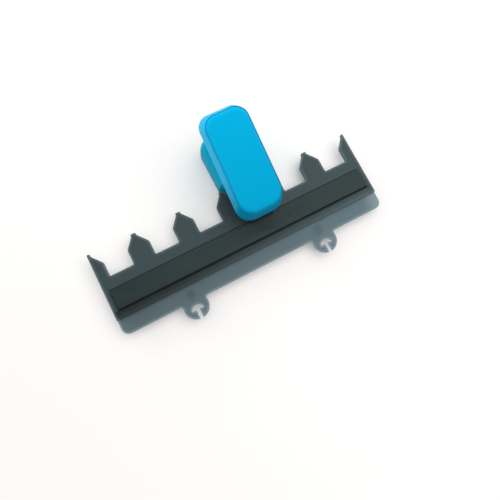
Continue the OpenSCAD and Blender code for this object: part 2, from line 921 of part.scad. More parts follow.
module base_pads() {
  edge = (housing_w / 2 - channel_half - pad_w) / 2;
  color(soft_black)
    in_punch()
      both_sides()
        span(
          [channel_half + edge, channel_half + edge + pad_w],
          [column_back, housing_rear - housing_r],
          [0, pad_t]
        );
}

module chip_tray() {
  floor_top = tray_lift + tray_t;
  wide = tray_w / 2;
  color(tray_grey)
    in_punch()
      difference() {
        union() {
          intersection() {
            union() {
              span([-wide, wide], [tray_front, housing_rear], [tray_lift, tray_top]);
              span(
                [-wide - runner_w, wide + runner_w],
                [tray_front, housing_rear],
                [runner_z, runner_z + runner_t]
              );
            }
            translate([0, 0, tray_lift - eps])
              linear_extrude(tray_h + 2 * eps)
                housing_outline(slide_gap);
          }
          span(
            [-tongue_half, tongue_half],
            [chip_front + slide_gap, tray_front + tray_side_t],
            [tray_lift, tongue_top]
          );
        }
        intersection() {
          span(
            [-wide + tray_side_t, wide - tray_side_t],
            [tray_front + tray_side_t, housing_rear],
            [floor_top, tray_top + eps]
          );
          translate([0, 0, floor_top - eps])
            linear_extrude(tray_h)
              housing_outline(slide_gap + tray_end_t);
        }
        span(
          [-tongue_half + tray_t, tongue_half - tray_t],
          [chip_front + slide_gap + tray_t, tray_front + 2 * tray_side_t],
          [floor_top, tray_top + eps]
        );
      }
}

// Lever, drawn in its level pose

// Thin slice of the lever's outline at a height, drawn in by an inset
module lever_slice(z, inset) {
  t = (z - rim_z) / (shell_top - rim_z);
  front = rim_front + front_lean * t + inset;
  rear = rim_rear - rear_lean * t - inset;
  front_half = rim_front_w / 2 - side_draft * t - inset;
  rear_half = rim_rear_w / 2 - side_draft * t - inset;
  r = lever_r - inset;
  for (s = [-1, 1]) {
    translate([s * (front_half - r), front + r, z])
      cylinder(r = r, h = slice);
    translate([s * (rear_half - r), rear - r, z])
      cylinder(r = r, h = slice);
  }
}

module lever_shell() {
  color(punch_blue)
    in_lever()
      difference() {
        hull() {
          lever_slice(rim_z, 0);
          lever_slice(shell_top - slice, 0);
        }
        hull() {
          lever_slice(rim_z - eps, shell_t);
          lever_slice(web_top - slice, shell_t);
        }
        hull() {
          lever_slice(shell_top - cap_sink, cap_inset);
          lever_slice(shell_top + eps, cap_inset);
        }
        at_core_screws()
          translate([0, 0, -eps])
            cylinder(d = core_screw_d + 2 * fit_gap, h = core_screw_bite + eps + fit_gap);
      }
}

module lever_cap() {
  seat = cap_inset + cap_gap;
  color(punch_blue)
    in_lever()
      hull() {
        lever_slice(shell_top - cap_sink, seat);
        lever_slice(lever_top - cap_edge, seat);
        lever_slice(lever_top - slice, seat + cap_edge);
      }
}

// Places of the core screws, at the top of the core's web
module at_core_screws() {
  for (y = [core_back - core_screw_inset, core_back - core_screw_inset - core_screw_gap])
    translate([0, y, web_top])
      children();
}

module lever_core() {
  color(steel)
    in_lever()
      difference() {
        union() {
          span([-cheek_out, cheek_out], [core_front + shell_t, core_back], [web_low, web_top]);
          both_sides() {
            span([cheek_in, cheek_out], [pivot_y, core_back], [cheek_low, web_low + eps]);
            span([cheek_in, cheek_out], [core_front + shell_t, pivot_y + eps], [pivot_z, web_low + eps]);
            cross_pin(2 * ear_r, cheek_in, cheek_out, pivot_y, pivot_z);
          }
        }
        cross_pin(pivot_d + 2 * run_gap, -cheek_out - eps, cheek_out + eps, pivot_y, pivot_z);
        both_sides() {
          for (y = [drive_y, drive_y + drive_slot_len])
            cross_pin(drive_d + 2 * slot_clear, cheek_in - eps, cheek_out + eps, y, pivot_z);
          span(
            [cheek_in - eps, cheek_out + eps],
            [drive_y, drive_y + drive_slot_len],
            [pivot_z - drive_d / 2 - slot_clear, pivot_z + drive_d / 2 + slot_clear]
          );
        }
        at_core_screws()
          translate([0, 0, -core_t - eps])
            cylinder(d = core_screw_d + 2 * fit_gap, h = core_t + 2 * eps);
      }
}

module core_screws() {
  color(steel)
    in_lever()
      at_core_screws()
        translate([0, 0, -core_t])
          mirror([0, 0, 1])
            pan_screw(core_screw_d, core_t + core_screw_bite);
}

// Cutter, drawn at rest

module punch_cutter() {
  color(steel)
    in_punch()
      difference() {
        union() {
          translate([0, 0, tip_z])
            linear_extrude(flange_low - tip_z + eps)
              cutter_section();
          translate([0, coil_y, flange_low])
            cylinder(r = flange_r, h = flange_t);
          span(
            [-head_w / 2, head_w / 2],
            [drive_y - head_w / 2, drive_y + head_w / 2],
            [flange_low, drive_z + head_up]
          );
        }
        cross_pin(drive_d + 2 * fit_gap, -head_w, head_w, drive_y, drive_z);
      }
}

module drive_pin() {
  color(steel)
    in_punch()
      grooved_pin(drive_d, drive_y, drive_z);
}

module drive_clips() {
  color(steel)
    in_punch()
      both_sides()
        retaining_ring(drive_d, drive_y, drive_z);
}

base_plate();
slot_spacers();
top_plate();
cover_strip();
guide_feet();
punch_frame();
die_plate();
die_screws();
pivot_pin();
pivot_clips();
return_spring();
base_housing();
deck_screws();
base_pads();
chip_tray();
lever_shell();
lever_cap();
lever_core();
core_screws();
punch_cutter();
drive_pin();
drive_clips();
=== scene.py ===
"""Looks of a hand punch for disc binding, standing in its notched guide.

Sizes are in millimetres, in the same frame as the solids, and turned into metres where meshes are made.
"""
import json
import math

import bmesh
import bpy
from mathutils import Matrix, Vector


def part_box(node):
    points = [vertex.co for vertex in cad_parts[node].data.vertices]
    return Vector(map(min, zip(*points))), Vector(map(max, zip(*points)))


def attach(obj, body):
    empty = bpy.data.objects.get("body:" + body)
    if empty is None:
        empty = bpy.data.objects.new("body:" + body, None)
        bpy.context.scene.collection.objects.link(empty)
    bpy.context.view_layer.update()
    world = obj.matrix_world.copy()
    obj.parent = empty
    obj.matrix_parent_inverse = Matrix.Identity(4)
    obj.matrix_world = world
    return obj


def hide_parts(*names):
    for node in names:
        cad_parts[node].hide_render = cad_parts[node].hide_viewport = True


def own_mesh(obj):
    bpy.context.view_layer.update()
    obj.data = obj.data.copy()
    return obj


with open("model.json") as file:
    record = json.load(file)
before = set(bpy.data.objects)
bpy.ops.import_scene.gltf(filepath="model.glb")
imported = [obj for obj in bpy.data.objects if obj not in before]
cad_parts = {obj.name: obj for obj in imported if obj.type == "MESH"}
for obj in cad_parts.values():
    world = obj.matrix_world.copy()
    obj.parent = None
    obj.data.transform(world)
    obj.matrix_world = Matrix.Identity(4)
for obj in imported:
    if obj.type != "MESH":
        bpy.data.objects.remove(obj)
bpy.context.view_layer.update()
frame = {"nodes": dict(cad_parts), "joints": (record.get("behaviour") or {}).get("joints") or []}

MM = 0.001
JOINTS = {joint["name"]: joint for joint in frame["joints"]}

# How far cutters run past a face, and how far shapes that meet run into each other
PAST = 1
OVERLAP = 0.1

# Lever, in its level pose, measured from its pivot
PIVOT = Vector(JOINTS["lever_press"]["pos_m"]) / MM
OPEN_ANGLE = math.radians(17)
LEVER_TOP = 8.8
LEVER_HEIGHT = 9.8
LEVER_FRONT = 6.75
LEVER_REAR = 48.2
RIM_FRONT_WIDTH = 25.8
RIM_REAR_WIDTH = 24.6
RIM_ROUND = 0.35
SIDE_DRAFT = 1.25
FRONT_LEAN = 3.4
REAR_LEAN = 2.4
FRONT_CORNER = 8
INNER_FRONT_CORNER = 6.5
REAR_CORNER = 6.5
LEAST_CORNER = 0.4
CORNER_STEPS = 14
SHELL_WALL = 1.8
SHELL_ROOF = 2.8
ROOF_BEVEL = 0.8
EDGE_ROUND = 0.08
SEAM_ROUND = 0.06
CAP_RISE = 0.6
CAP_SINK = 0.9
CAP_INSET = 0.16
CAP_GAP = 0.05
CAP_ROUND = 1.6

# Insets of the ring round the cap's flat top and of the last ring on each flat face of the lever
CAP_BORDER = 1.2
FLAT_RING = 4

# Housing, measured from the notch floor
NOTCH_FLOOR = PIVOT.y + 3
HOUSING_LOW, HOUSING_HIGH = (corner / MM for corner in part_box("base_housing"))
HOUSING_FRONT = NOTCH_FLOOR + 16.5
HOUSING_REAR = NOTCH_FLOOR + 44.7
HOUSING_CORNER = 7
HOUSING_LEAST_CORNER = 1
HOUSING_WALL = 1.8
HOUSING_ROUND = 0.3
PROW_LENGTH = 3.5
PROW_INSET = 3.2
DOME_HEIGHT = 11
DOME_WIDTH = 4.6
DOME_LOW = HOUSING_HIGH.z - DOME_HEIGHT
DOME_STEPS = 18
DECK = 2.2
CHANNEL_HALF = 9.7
CHANNEL_TOP = 5.4
RUNNER_Z = 2.2
RUNNER_THICK = 0.8
RUNNER_REACH = 1
SLIDE_GAP = 0.2
JAW_HALF = 6.45
JAW_TOP = 14
COLUMN_BACK = NOTCH_FLOOR + 18.3
ARCH_RADIUS = 5
DECK_SCREW_HOLE = 3.06
DECK_SCREW_Y = (COLUMN_BACK + 3.7, COLUMN_BACK + 11)

# Cover strip, with faint sink marks over its pins
STRIP_LOW, STRIP_HIGH = (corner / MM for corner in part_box("cover_strip"))
STRIP_SEAT = 6.9
STRIP_ROUND = 0.25
STRIP_ROLL = 3.2
STRIP_DROP = 0.3
ROLL_STEPS = 8
PIN_RADIUS = 1.5
PIN_PLACES = (26, STRIP_HIGH.x - 7)
SINK_RADIUS = 2
SINK_DEPTH = 0.3
SINK_STEPS = 6
SINK_SIDES = 32

# Return spring, with the share of its wire at the ends
SPRING_LOW, SPRING_HIGH = (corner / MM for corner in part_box("return_spring"))
SPRING_TURNS = 4
STEPS_PER_TURN = 36
WIRE = 0.8
WIRE_SIDES = 14
WIRE_END = 0.6

# Edge marks: radius of the edge, and the cosines of its turn at which the mark is full and gone;
# rubbing on paint, lever and housing, painted edge light on the plates, a painted highlight on the cap
# and painted shade on the strip's edges
EDGE_WEAR = (0.25, 0.8, 0.98)
PAINT_WEAR = (0.2, 0.8, 0.98)
CAP_HIGHLIGHT_EDGE = (1.5, 0.93, 0.9995)
PLATE_EDGE_LIGHT = (2, 0.93, 0.9995)
STRIP_SHADE_EDGES = (0.6, 0.9, 0.999)

# Blue plastics: colour, colour of the edges (rubbed pale on lever and housing, a painted highlight on the
# cap), and painted shade given as an axis, two places and the share of colour kept at the first
LEVER_BLUE = (0, 0.475, 0.825)
LEVER_WORN = (0.02, 0.53, 0.88)
LEVER_PAINTED_SHADE = ("Y", -5, 9, 0.66)
CAP_BLUE = (0, 0.505, 0.87)
CAP_HIGHLIGHT = (0.05, 0.58, 0.93)
CAP_PAINTED_SHADE = ("Z", 18, 44.6, 0.66)
BODY_BLUE = (0, 0.38, 0.575)
BODY_WORN = (0.02, 0.41, 0.62)
BODY_PAINTED_SHADE = ("Z", 3, 13, 0.68)

# Clear plates, with painted light that makes them lighter to the right and paler on their edges, and the
# strip, with painted shade that darkens its edges and its left end
SMOKE_TOP = (0.041, 0.067, 0.073)
SMOKE_TOP_EDGE_LIGHT = (0.14, 0.195, 0.215)
SMOKE_BASE = (0.084, 0.134, 0.153)
SMOKE_BASE_EDGE_LIGHT = (0.25, 0.36, 0.415)
PLATE_PAINTED_LIGHT_X = (-80, 80)
LIP_PAINTED_LIGHT_X = (67, 79)
STRIP_COLOURS = ((0.012, 0.025, 0.0262), (0.0136, 0.0272, 0.0285))
STRIP_PAINTED_LIGHT = (0.022, 0.038, 0.0395)
STRIP_EDGE_SHADE = (0.004, 0.008, 0.009)

# Painted shade and light on the top plate's rail in front of the strip: shares of the plate's colour at its
# front and by the strip, at the left end and at the right end
PLATE_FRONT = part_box("top_plate")[0].y / MM
RAIL_LEFT = (0.6, 0.1)
RAIL_RIGHT = (1.9, 0.7)
RAIL_PAINTED_LIGHT_X = (-45, 72)
RAIL_PAINTED_SHADE_Y = STRIP_LOW.y - 0.3
RAIL_BLEND_Y = (STRIP_LOW.y + 0.5, STRIP_LOW.y - 0.9)

# Place round the strip where edges get no painted edge light, and the painted shade on the floor of the
# groove that it lies in
NO_EDGE_LIGHT_X = (STRIP_LOW.x - 1.6, STRIP_HIGH.x + 1.6)
NO_EDGE_LIGHT_Y = (PLATE_FRONT - 1, STRIP_HIGH.y + 1.5)
NO_EDGE_LIGHT_SOFT = 0.1
GROOVE_SHADE_Z = (STRIP_SEAT - 0.05, STRIP_SEAT + 0.1)
GROOVE_SHADE_SOFT = 0.05
GROOVE_SHADE_SHARE = 0.04

# Camera, in millimetres and degrees, fitted to the edges of guide and lever
CAMERA_PLACE = (-29.404, -47.369, 214.176)
CAMERA_TURN = (9.7021, -3.9209, -27.5046)
LENS = 28.95
SENSOR = 36
NEAREST = 10

# Light and floor, in metres and watts
SKY_LIGHT = 0.52
SKY_SLOPE = (-0.45, 0.87, 0)
KEY_PLACE = (0.3, -0.05, 0.62)
KEY_TARGET = (0, 0, 0)
KEY_SIZE = 0.85
KEY_POWER = 3.45
FILL_PLACE = (-0.2, 0.36, 0.05)
FILL_TARGET = (0, 0, 0.02)
FILL_SIZE = 0.25
FILL_POWER = 0.6
FLOOR_HALF = 3
FLOOR_COLOUR = (0.9, 0.88, 0.865)
FLOOR_GLOW = (0.15, 0.6)
GLOW_DISTANCE = (0.15, 0.9)


# Meshes

def new_object(name, data):
    obj = bpy.data.objects.new(name, data)
    bpy.context.scene.collection.objects.link(obj)
    return obj


def smooth(mesh, angle=30):
    """Shades a mesh smooth, with hard lines where faces turn more than the angle."""
    mesh.polygons.foreach_set("use_smooth", [True] * len(mesh.polygons))
    mesh.set_sharp_from_angle(angle=math.radians(angle))


def to_mesh(bm, name):
    bmesh.ops.recalc_face_normals(bm, faces=bm.faces)
    mesh = bpy.data.meshes.new(name)
    bm.to_mesh(mesh)
    bm.free()
    return mesh


def loft(rings, name):
    """Closed mesh through rings of points in millimetres."""
    bm = bmesh.new()
    rows = [[bm.verts.new(Vector(point) * MM) for point in ring] for ring in rings]
    count = len(rings[0])
    for low, high in zip(rows, rows[1:]):
        for i in range(count):
            j = (i + 1) % count
            bm.faces.new((low[i], low[j], high[j], high[i]))
    bm.faces.new(rows[0])
    bm.faces.new(rows[-1])
    return to_mesh(bm, name)


def circle(radius, sides):
    turns = (2 * math.pi * i / sides for i in range(sides))
    return [(radius * math.cos(a), radius * math.sin(a)) for a in turns]


def slab(half, y_range, z_range):
    """Box that reaches half its width to each side of the punch's middle."""
    front, rear = y_range
    left, right = PIVOT.x - half, PIVOT.x + half
    ring = [(left, front), (right, front), (right, rear), (left, rear)]
    return loft([[(x, y, z) for x, y in ring] for z in z_range], "slab")


def bar(start, end, radius, sides=48):
    """Round bar between two points."""
    axis = (Vector(end) - Vector(start)).normalized()
    turn = Vector((0, 0, 1)).rotation_difference(axis).to_matrix()
    ring = [turn @ Vector((x, y, 0)) for x, y in circle(radius, sides)]
    return loft([[Vector(place) + point for point in ring] for place in (start, end)], "bar")


def cut(mesh, cutters):
    """Mesh with each cutter taken out of it."""
    body = new_object("cut_body", mesh)
    for cutter in cutters:
        tool = new_object("cut_tool", cutter)
        step = body.modifiers.new("cut", "BOOLEAN")
        step.object = tool
        step.operation = "DIFFERENCE"
        step.solver = "EXACT"
        bpy.context.view_layer.update()
        result = bpy.data.meshes.new_from_object(body.evaluated_get(bpy.context.evaluated_depsgraph_get()))
        body.modifiers.clear()
        body.data = result
        bpy.data.objects.remove(tool)
    finished = body.data
    bpy.data.objects.remove(body)
    return finished


def mend(bm, weld, flat):
    """Joins points within a distance in millimetres, and faces that turn less than an angle in degrees."""
    bmesh.ops.remove_doubles(bm, verts=bm.verts, dist=weld * MM)
    bmesh.ops.dissolve_limit(bm, angle_limit=math.radians(flat), verts=bm.verts, edges=bm.edges)


def bevel(obj, width, segments=2, angle=30):
    """Rounds the edges whose faces turn more than the angle."""
    step = obj.modifiers.new("rounded_edges", "BEVEL")
    step.width = width * MM
    step.segments = segments
    step.limit_method = "ANGLE"
    step.angle_limit = math.radians(angle)
    step.use_clamp_overlap = False
    step.harden_normals = True


def stand_for(obj, node, body, material):
    """Puts a finished piece in a node's place."""
    obj.data.materials.clear()
    obj.data.materials.append(material)
    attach(obj, body)
    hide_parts(node)


# Materials

class Surface:
    """One node material, with short ways to add and join its nodes."""

    def __init__(self, name, **values):
        self.material = bpy.data.materials.new(name)
        self.material.use_nodes = True
        self.tree = self.material.node_tree
        self.shader = self.tree.nodes["Principled BSDF"]
        self.place = self.add("ShaderNodeTexCoord").outputs["Object"]
        self.set(**values)

    def set(self, **values):
        for key, value in values.items():
            self.join(self.shader.inputs[key.replace("_", " ")], value)

    def join(self, socket, value):
        if isinstance(value, bpy.types.NodeSocket):
            self.tree.links.new(value, socket)
        else:
            socket.default_value = value

    def add(self, kind, settings=(), **inputs):
        node = self.tree.nodes.new(kind)
        for key, value in dict(settings).items():
            setattr(node, key, value)
        for key, value in inputs.items():
            self.join(node.inputs[key.replace("_", " ")], value)
        return node

    def math(self, operation, first, second):
        node = self.add("ShaderNodeMath", {"operation": operation})
        self.join(node.inputs[0], first)
        self.join(node.inputs[1], second)
        return node.outputs[0]

    def blend(self, factor, first, second, mode="MIX"):
        """Colour that goes from the first to the second; the node's sockets 6, 7 and 2 are its colours."""
        node = self.add("ShaderNodeMix", {"data_type": "RGBA", "blend_type": mode})
        self.join(node.inputs["Factor"], factor)
        self.join(node.inputs[6], first)
        self.join(node.inputs[7], second)
        return node.outputs[2]

    def between(self, factor, low, high, start=0.35, end=0.65):
        """Number that goes from low to high as the factor goes from start to end."""
        node = self.add("ShaderNodeMapRange", Value=factor, From_Min=start, From_Max=end)
        self.join(node.inputs["To Min"], low)
        self.join(node.inputs["To Max"], high)
        return node.outputs["Result"]

    def stretched(self, scale):
        return self.add("ShaderNodeMapping", Vector=self.place, Scale=scale).outputs["Vector"]

    def noise(self, size, detail=3, roughness=0.5, place=None):
        """Noise whose patches are about size millimetres wide."""
        node = self.add(
            "ShaderNodeTexNoise",
            Vector=place or self.place,
            Scale=1 / (size * MM),
            Detail=detail,
            Roughness=roughness,
        )
        return node.outputs["Fac"]

    def drift(self, size, detail, low=0, high=1):
        """Number that drifts softly from low to high over patches about size millimetres wide."""
        return self.between(self.noise(size, detail), low, high, 0.2, 0.8)

    def along(self, axis, start, end):
        """Number that goes from 0 to 1 between two places on an axis, in millimetres."""
        place = self.add("ShaderNodeSeparateXYZ", Vector=self.place).outputs[axis]
        return self.between(place, 0, 1, start * MM, end * MM)

    def band(self, axis, start, end, soft):
        """Number that is 1 between two places on an axis and 0 outside, in millimetres."""
        return self.math("MINIMUM", self.along(axis, start - soft, start), self.along(axis, end + soft, end))

    def edge_mask(self, radius, edge_mark, whole):
        """Number that is 1 on marked edges and 0 on open faces; materials use it for rubbed edges, painted
        edge light and painted shade.
        """
        soft = self.add("ShaderNodeBevel", {"samples": 6}, Radius=radius * MM).outputs["Normal"]
        hard = self.add("ShaderNodeNewGeometry").outputs["Normal"]
        turn = self.add("ShaderNodeVectorMath", {"operation": "DOT_PRODUCT"})
        self.join(turn.inputs[0], soft)
        self.join(turn.inputs[1], hard)
        return self.between(turn.outputs["Value"], 1, 0, edge_mark, whole)

    def finished(self, height, depth):
        """Material with relief of the given depth in millimetres."""
        relief = self.add("ShaderNodeBump", Height=height, Distance=depth * MM)
        self.set(Normal=relief.outputs["Normal"])
        return self.material


def rgba(red, green, blue):
    return (red, green, blue, 1)


def tinted(colour, share):
    return rgba(*(share * channel for channel in colour))


def painted_rail_shade(s, face, colour):
    """Face with painted shade on the rail in front of the strip, darker towards the strip, and painted light
    making it lighter at the right end.
    """
    depth = s.along("Y", PLATE_FRONT, RAIL_PAINTED_SHADE_Y)
    left = s.blend(depth, *(tinted(colour, share) for share in RAIL_LEFT))
    right = s.blend(depth, *(tinted(colour, share) for share in RAIL_RIGHT))
    rail = s.blend(s.along("X", *RAIL_PAINTED_LIGHT_X), left, right)
    return s.blend(s.along("Y", *RAIL_BLEND_Y), face, rail)


def smoke_plastic(name, colour, edge, alpha, painted_light_end, rail=False):
    """Smoke-grey clear plastic with a satin face, with painted light making it paler along its edges and
    lighter towards one end.
    """
    s = Surface(name, IOR=1.49, Specular_IOR_Level=0.22, Alpha=alpha)
    face = s.blend(s.drift(24, 2), tinted(colour, 0.93), tinted(colour, 1.07))
    # Painted light: the plate gets lighter towards its right end
    face = s.blend(s.along("X", *PLATE_PAINTED_LIGHT_X), face, tinted(colour, painted_light_end))
    # Painted shade and light on the top plate's rail; the base plate gets a painted glow of light at the
    # right end of its lip
    if rail:
        face = painted_rail_shade(s, face, colour)
    else:
        face = s.blend(s.along("X", *LIP_PAINTED_LIGHT_X), face, rgba(*edge))
    # Painted edge light: the edges are paler, except round the strip
    no_edge_light = s.math("MULTIPLY", s.band("Y", *NO_EDGE_LIGHT_Y, NO_EDGE_LIGHT_SOFT), s.band("X", *NO_EDGE_LIGHT_X, NO_EDGE_LIGHT_SOFT))
    edge_mark = s.math("SUBTRACT", s.edge_mask(*PLATE_EDGE_LIGHT), no_edge_light)
    face = s.blend(edge_mark, face, rgba(*edge))
    # Painted shade: the recess floor round the strip is almost black
    face = s.blend(s.band("Z", *GROOVE_SHADE_Z, GROOVE_SHADE_SOFT), face, tinted(colour, GROOVE_SHADE_SHARE))
    s.set(Base_Color=face, Roughness=s.drift(1.4, 4, 0.42, 0.5))
    return s.finished(s.noise(0.3, 2), 0.004)


def strip_plastic():
    s = Surface("strip_plastic", IOR=1.49, Specular_IOR_Level=0.18)
    face = s.blend(s.drift(16, 3), *(rgba(*colour) for colour in STRIP_COLOURS))
    # Painted shade: the strip is darker at its left end, and goes over to a lighter colour by the middle
    face = s.blend(s.along("X", STRIP_LOW.x, 0), face, rgba(*STRIP_PAINTED_LIGHT))
    # Painted shade: the strip's edges are darker where they meet the groove
    face = s.blend(s.edge_mask(*STRIP_SHADE_EDGES), face, rgba(*STRIP_EDGE_SHADE))
    s.set(Base_Color=face, Roughness=s.drift(1.1, 4, 0.5, 0.6))
    return s.finished(s.noise(0.3, 3), 0.008)


def blue_plastic(name, colour, edge_mark, gloss, painted_fade, edge_settings=EDGE_WEAR):
    """Blue plastic with paler edges, rubbed on lever and housing and a painted highlight on the cap, and
    painted shade that darkens it at one end.
    """
    axis, start, end, low = painted_fade
    s = Surface(name, IOR=1.5, Specular_IOR_Level=gloss)
    face = s.blend(s.drift(30, 2), tinted(colour, 0.985), tinted(colour, 1.015))
    # Paler edges: rubbed on lever and housing, a painted highlight on the cap
    face = s.blend(s.edge_mask(*edge_settings), face, rgba(*edge_mark))
    # Painted shade: the colour is multiplied down to the share low at the start of the axis
    shade = s.blend(s.along(axis, start, end), rgba(low, low, low), rgba(1, 1, 1))
    s.set(Base_Color=s.blend(1, face, shade, "MULTIPLY"), Roughness=s.drift(1.6, 4, 0.38, 0.45))
    return s.finished(s.noise(0.2, 2), 0.002)


def black_paint_and_shade():
    s = Surface("black_paint_and_shade", IOR=1.5, Specular_IOR_Level=0.18)
    grain = s.noise(0.5, 4, 0.6)
    # Black paint, made darker still as painted shade where the frame shows under the lever's front
    face = s.blend(grain, rgba(0.009, 0.011, 0.012), rgba(0.016, 0.018, 0.019))
    face = s.blend(s.edge_mask(*PAINT_WEAR), face, rgba(0.06, 0.063, 0.066))
    s.set(Base_Color=face, Roughness=s.drift(2, 3, 0.48, 0.6))
    return s.finished(grain, 0.02)


def rubber():
    s = Surface("rubber", Roughness=0.8, IOR=1.5)
    s.set(Base_Color=s.blend(s.noise(1.2), rgba(0.016, 0.016, 0.017), rgba(0.034, 0.034, 0.036)))
    return s.finished(s.noise(0.25), 0.02)


def tray_plastic():
    s = Surface("tray_plastic", IOR=1.49)
    s.set(Base_Color=s.blend(s.noise(9), rgba(0.055, 0.063, 0.068), rgba(0.078, 0.088, 0.094)))
    s.set(Roughness=s.between(s.noise(3), 0.42, 0.58))
    return s.finished(s.noise(0.3), 0.015)


def metal(name, low, high, rough, grain, grain_size, depth):
    """Metal with a drawn or cast grain; grain is how far each axis is squeezed."""
    s = Surface(name, Metallic=1)
    fine = s.noise(grain_size, 4, 0.6, s.stretched(grain))
    s.set(Base_Color=s.blend(s.between(fine, 0, 1), rgba(*low), rgba(*high)))
    s.set(Roughness=s.between(s.noise(2.5), *rough))
    return s.finished(fine, depth)


# Pieces

def rounded_copy(node, body, material, width):
    """Copy of a node with its seams joined, its flat faces whole and its edges rounded."""
    bm = bmesh.new()
    bm.from_mesh(frame["nodes"][node].data)
    mend(bm, weld=0.001, flat=0.4)
    mesh = to_mesh(bm, node + "_shape")
    smooth(mesh)
    obj = new_object(node + "_shape", mesh)
    bevel(obj, width)
    stand_for(obj, node, body, material)


def corner_arcs(half_front, half_rear, front, rear, front_radius, rear_radius):
    """Outline with four round corners, tapering from the front to the rear."""
    corners = (
        (half_front - front_radius, front + front_radius, front_radius, -90),
        (half_rear - rear_radius, rear - rear_radius, rear_radius, 0),
        (rear_radius - half_rear, rear - rear_radius, rear_radius, 90),
        (front_radius - half_front, front + front_radius, front_radius, 180),
    )
    points = []
    for x, y, radius, start in corners:
        for i in range(CORNER_STEPS + 1):
            a = math.radians(start + 90 * i / CORNER_STEPS)
            points.append((x + radius * math.cos(a), y + radius * math.sin(a)))
    return points


def lever_ring(z, inset, front_corner=FRONT_CORNER):
    """Lever's outline at a height above the rim, drawn in by an inset, turned up to rest."""
    share = z / (LEVER_HEIGHT - CAP_RISE)
    outline = corner_arcs(
        RIM_FRONT_WIDTH / 2 - SIDE_DRAFT * share - inset,
        RIM_REAR_WIDTH / 2 - SIDE_DRAFT * share - inset,
        FRONT_LEAN * share + inset - LEVER_FRONT,
        LEVER_REAR - REAR_LEAN * share - inset,
        max(front_corner - inset, LEAST_CORNER),
        max(REAR_CORNER - inset, LEAST_CORNER),
    )
    turn = Matrix.Rotation(OPEN_ANGLE, 3, "X")
    return [PIVOT + turn @ Vector((x, y, z + LEVER_TOP - LEVER_HEIGHT)) for x, y in outline]


def quarter(z, inset, radius, start, steps=6):
    """Rounded edge as heights and insets, a quarter turn about a centre."""
    turns = (math.radians(start + 90 * i / steps) for i in range(steps + 1))
    return [(z + radius * math.sin(a), inset - radius * math.cos(a)) for a in turns]


def lever_shell(material):
    """Hollow shell with a seat for the cap; its inner front corners leave room for the pivot's clips."""
    top = LEVER_HEIGHT - CAP_RISE
    roof = top - SHELL_ROOF
    seat = top - CAP_SINK
    inner = [(roof, SHELL_WALL + FLAT_RING), (roof, SHELL_WALL + ROOF_BEVEL), (roof - ROOF_BEVEL, SHELL_WALL)]
    inner += [(RIM_ROUND, SHELL_WALL), (0, SHELL_WALL - RIM_ROUND)]
    outer = quarter(RIM_ROUND, RIM_ROUND, RIM_ROUND, -90)
    outer += quarter(top - EDGE_ROUND, EDGE_ROUND, EDGE_ROUND, 0)
    outer += [(top, CAP_INSET - SEAM_ROUND), (top - SEAM_ROUND, CAP_INSET)]
    outer += [(seat, CAP_INSET), (seat, CAP_INSET + FLAT_RING)]
    rings = [lever_ring(z, inset, INNER_FRONT_CORNER) for z, inset in inner]
    rings += [lever_ring(z, inset) for z, inset in outer]
    mesh = loft(rings, "lever_shell_shape")
    smooth(mesh)
    stand_for(new_object("lever_shell_shape", mesh), "lever_shell", "lever", material)


def lever_cap(material):
    edge = CAP_INSET + CAP_GAP
    bottom = LEVER_HEIGHT - CAP_RISE - CAP_SINK
    profile = [(bottom, edge + FLAT_RING), (bottom, edge)]
    profile += quarter(LEVER_HEIGHT - CAP_ROUND, edge + CAP_ROUND, CAP_ROUND, 0, steps=8)
    profile += [(LEVER_HEIGHT, edge + CAP_ROUND + CAP_BORDER), (LEVER_HEIGHT, edge + FLAT_RING)]
    mesh = loft([lever_ring(z, inset) for z, inset in profile], "lever_cap_shape")
    smooth(mesh, angle=40)
    stand_for(new_object("lever_cap_shape", mesh), "lever_cap", "lever", material)


def sink_mark(x, y, z):
    """Cutter for a shallow dish in a face at height z."""
    shares = [(i + 1) / SINK_STEPS for i in range(SINK_STEPS)]
    profile = [(SINK_RADIUS * share, z - SINK_DEPTH * (1 - share ** 2)) for share in shares]
    profile.append((SINK_RADIUS, z + SINK_DEPTH))
    rings = [[(x + u, y + v, height) for u, v in circle(radius, SINK_SIDES)] for radius, height in profile]
    return loft(rings, "sink_mark")


def cover_strip(material):
    """Strip whose top rolls down a little towards its front edge, with pins under it."""
    front, rear, top = STRIP_LOW.y, STRIP_HIGH.y, STRIP_HIGH.z
    middle = (front + rear) / 2
    shares = [i / ROLL_STEPS for i in range(ROLL_STEPS + 1)]
    rolled = [(front + STRIP_ROLL * share, top - STRIP_DROP * (1 - share) ** 2) for share in shares]
    profile = [(rear, top), (rear, STRIP_SEAT), (front, STRIP_SEAT), *rolled]
    rings = [[(x, y, z) for y, z in profile] for x in (STRIP_LOW.x, STRIP_HIGH.x)]
    places = [side * x for x in PIN_PLACES for side in (-1, 1)]
    bm = bmesh.new()
    bm.from_mesh(cut(loft(rings, "strip"), [sink_mark(x, middle, top) for x in places]))
    for x in places:
        bm.from_mesh(bar((x, middle, STRIP_LOW.z), (x, middle, STRIP_SEAT + OVERLAP), PIN_RADIUS))
    mesh = to_mesh(bm, "cover_strip_shape")
    smooth(mesh)
    obj = new_object("cover_strip_shape", mesh)
    bevel(obj, STRIP_ROUND, segments=3)
    stand_for(obj, "cover_strip", "guide", material)


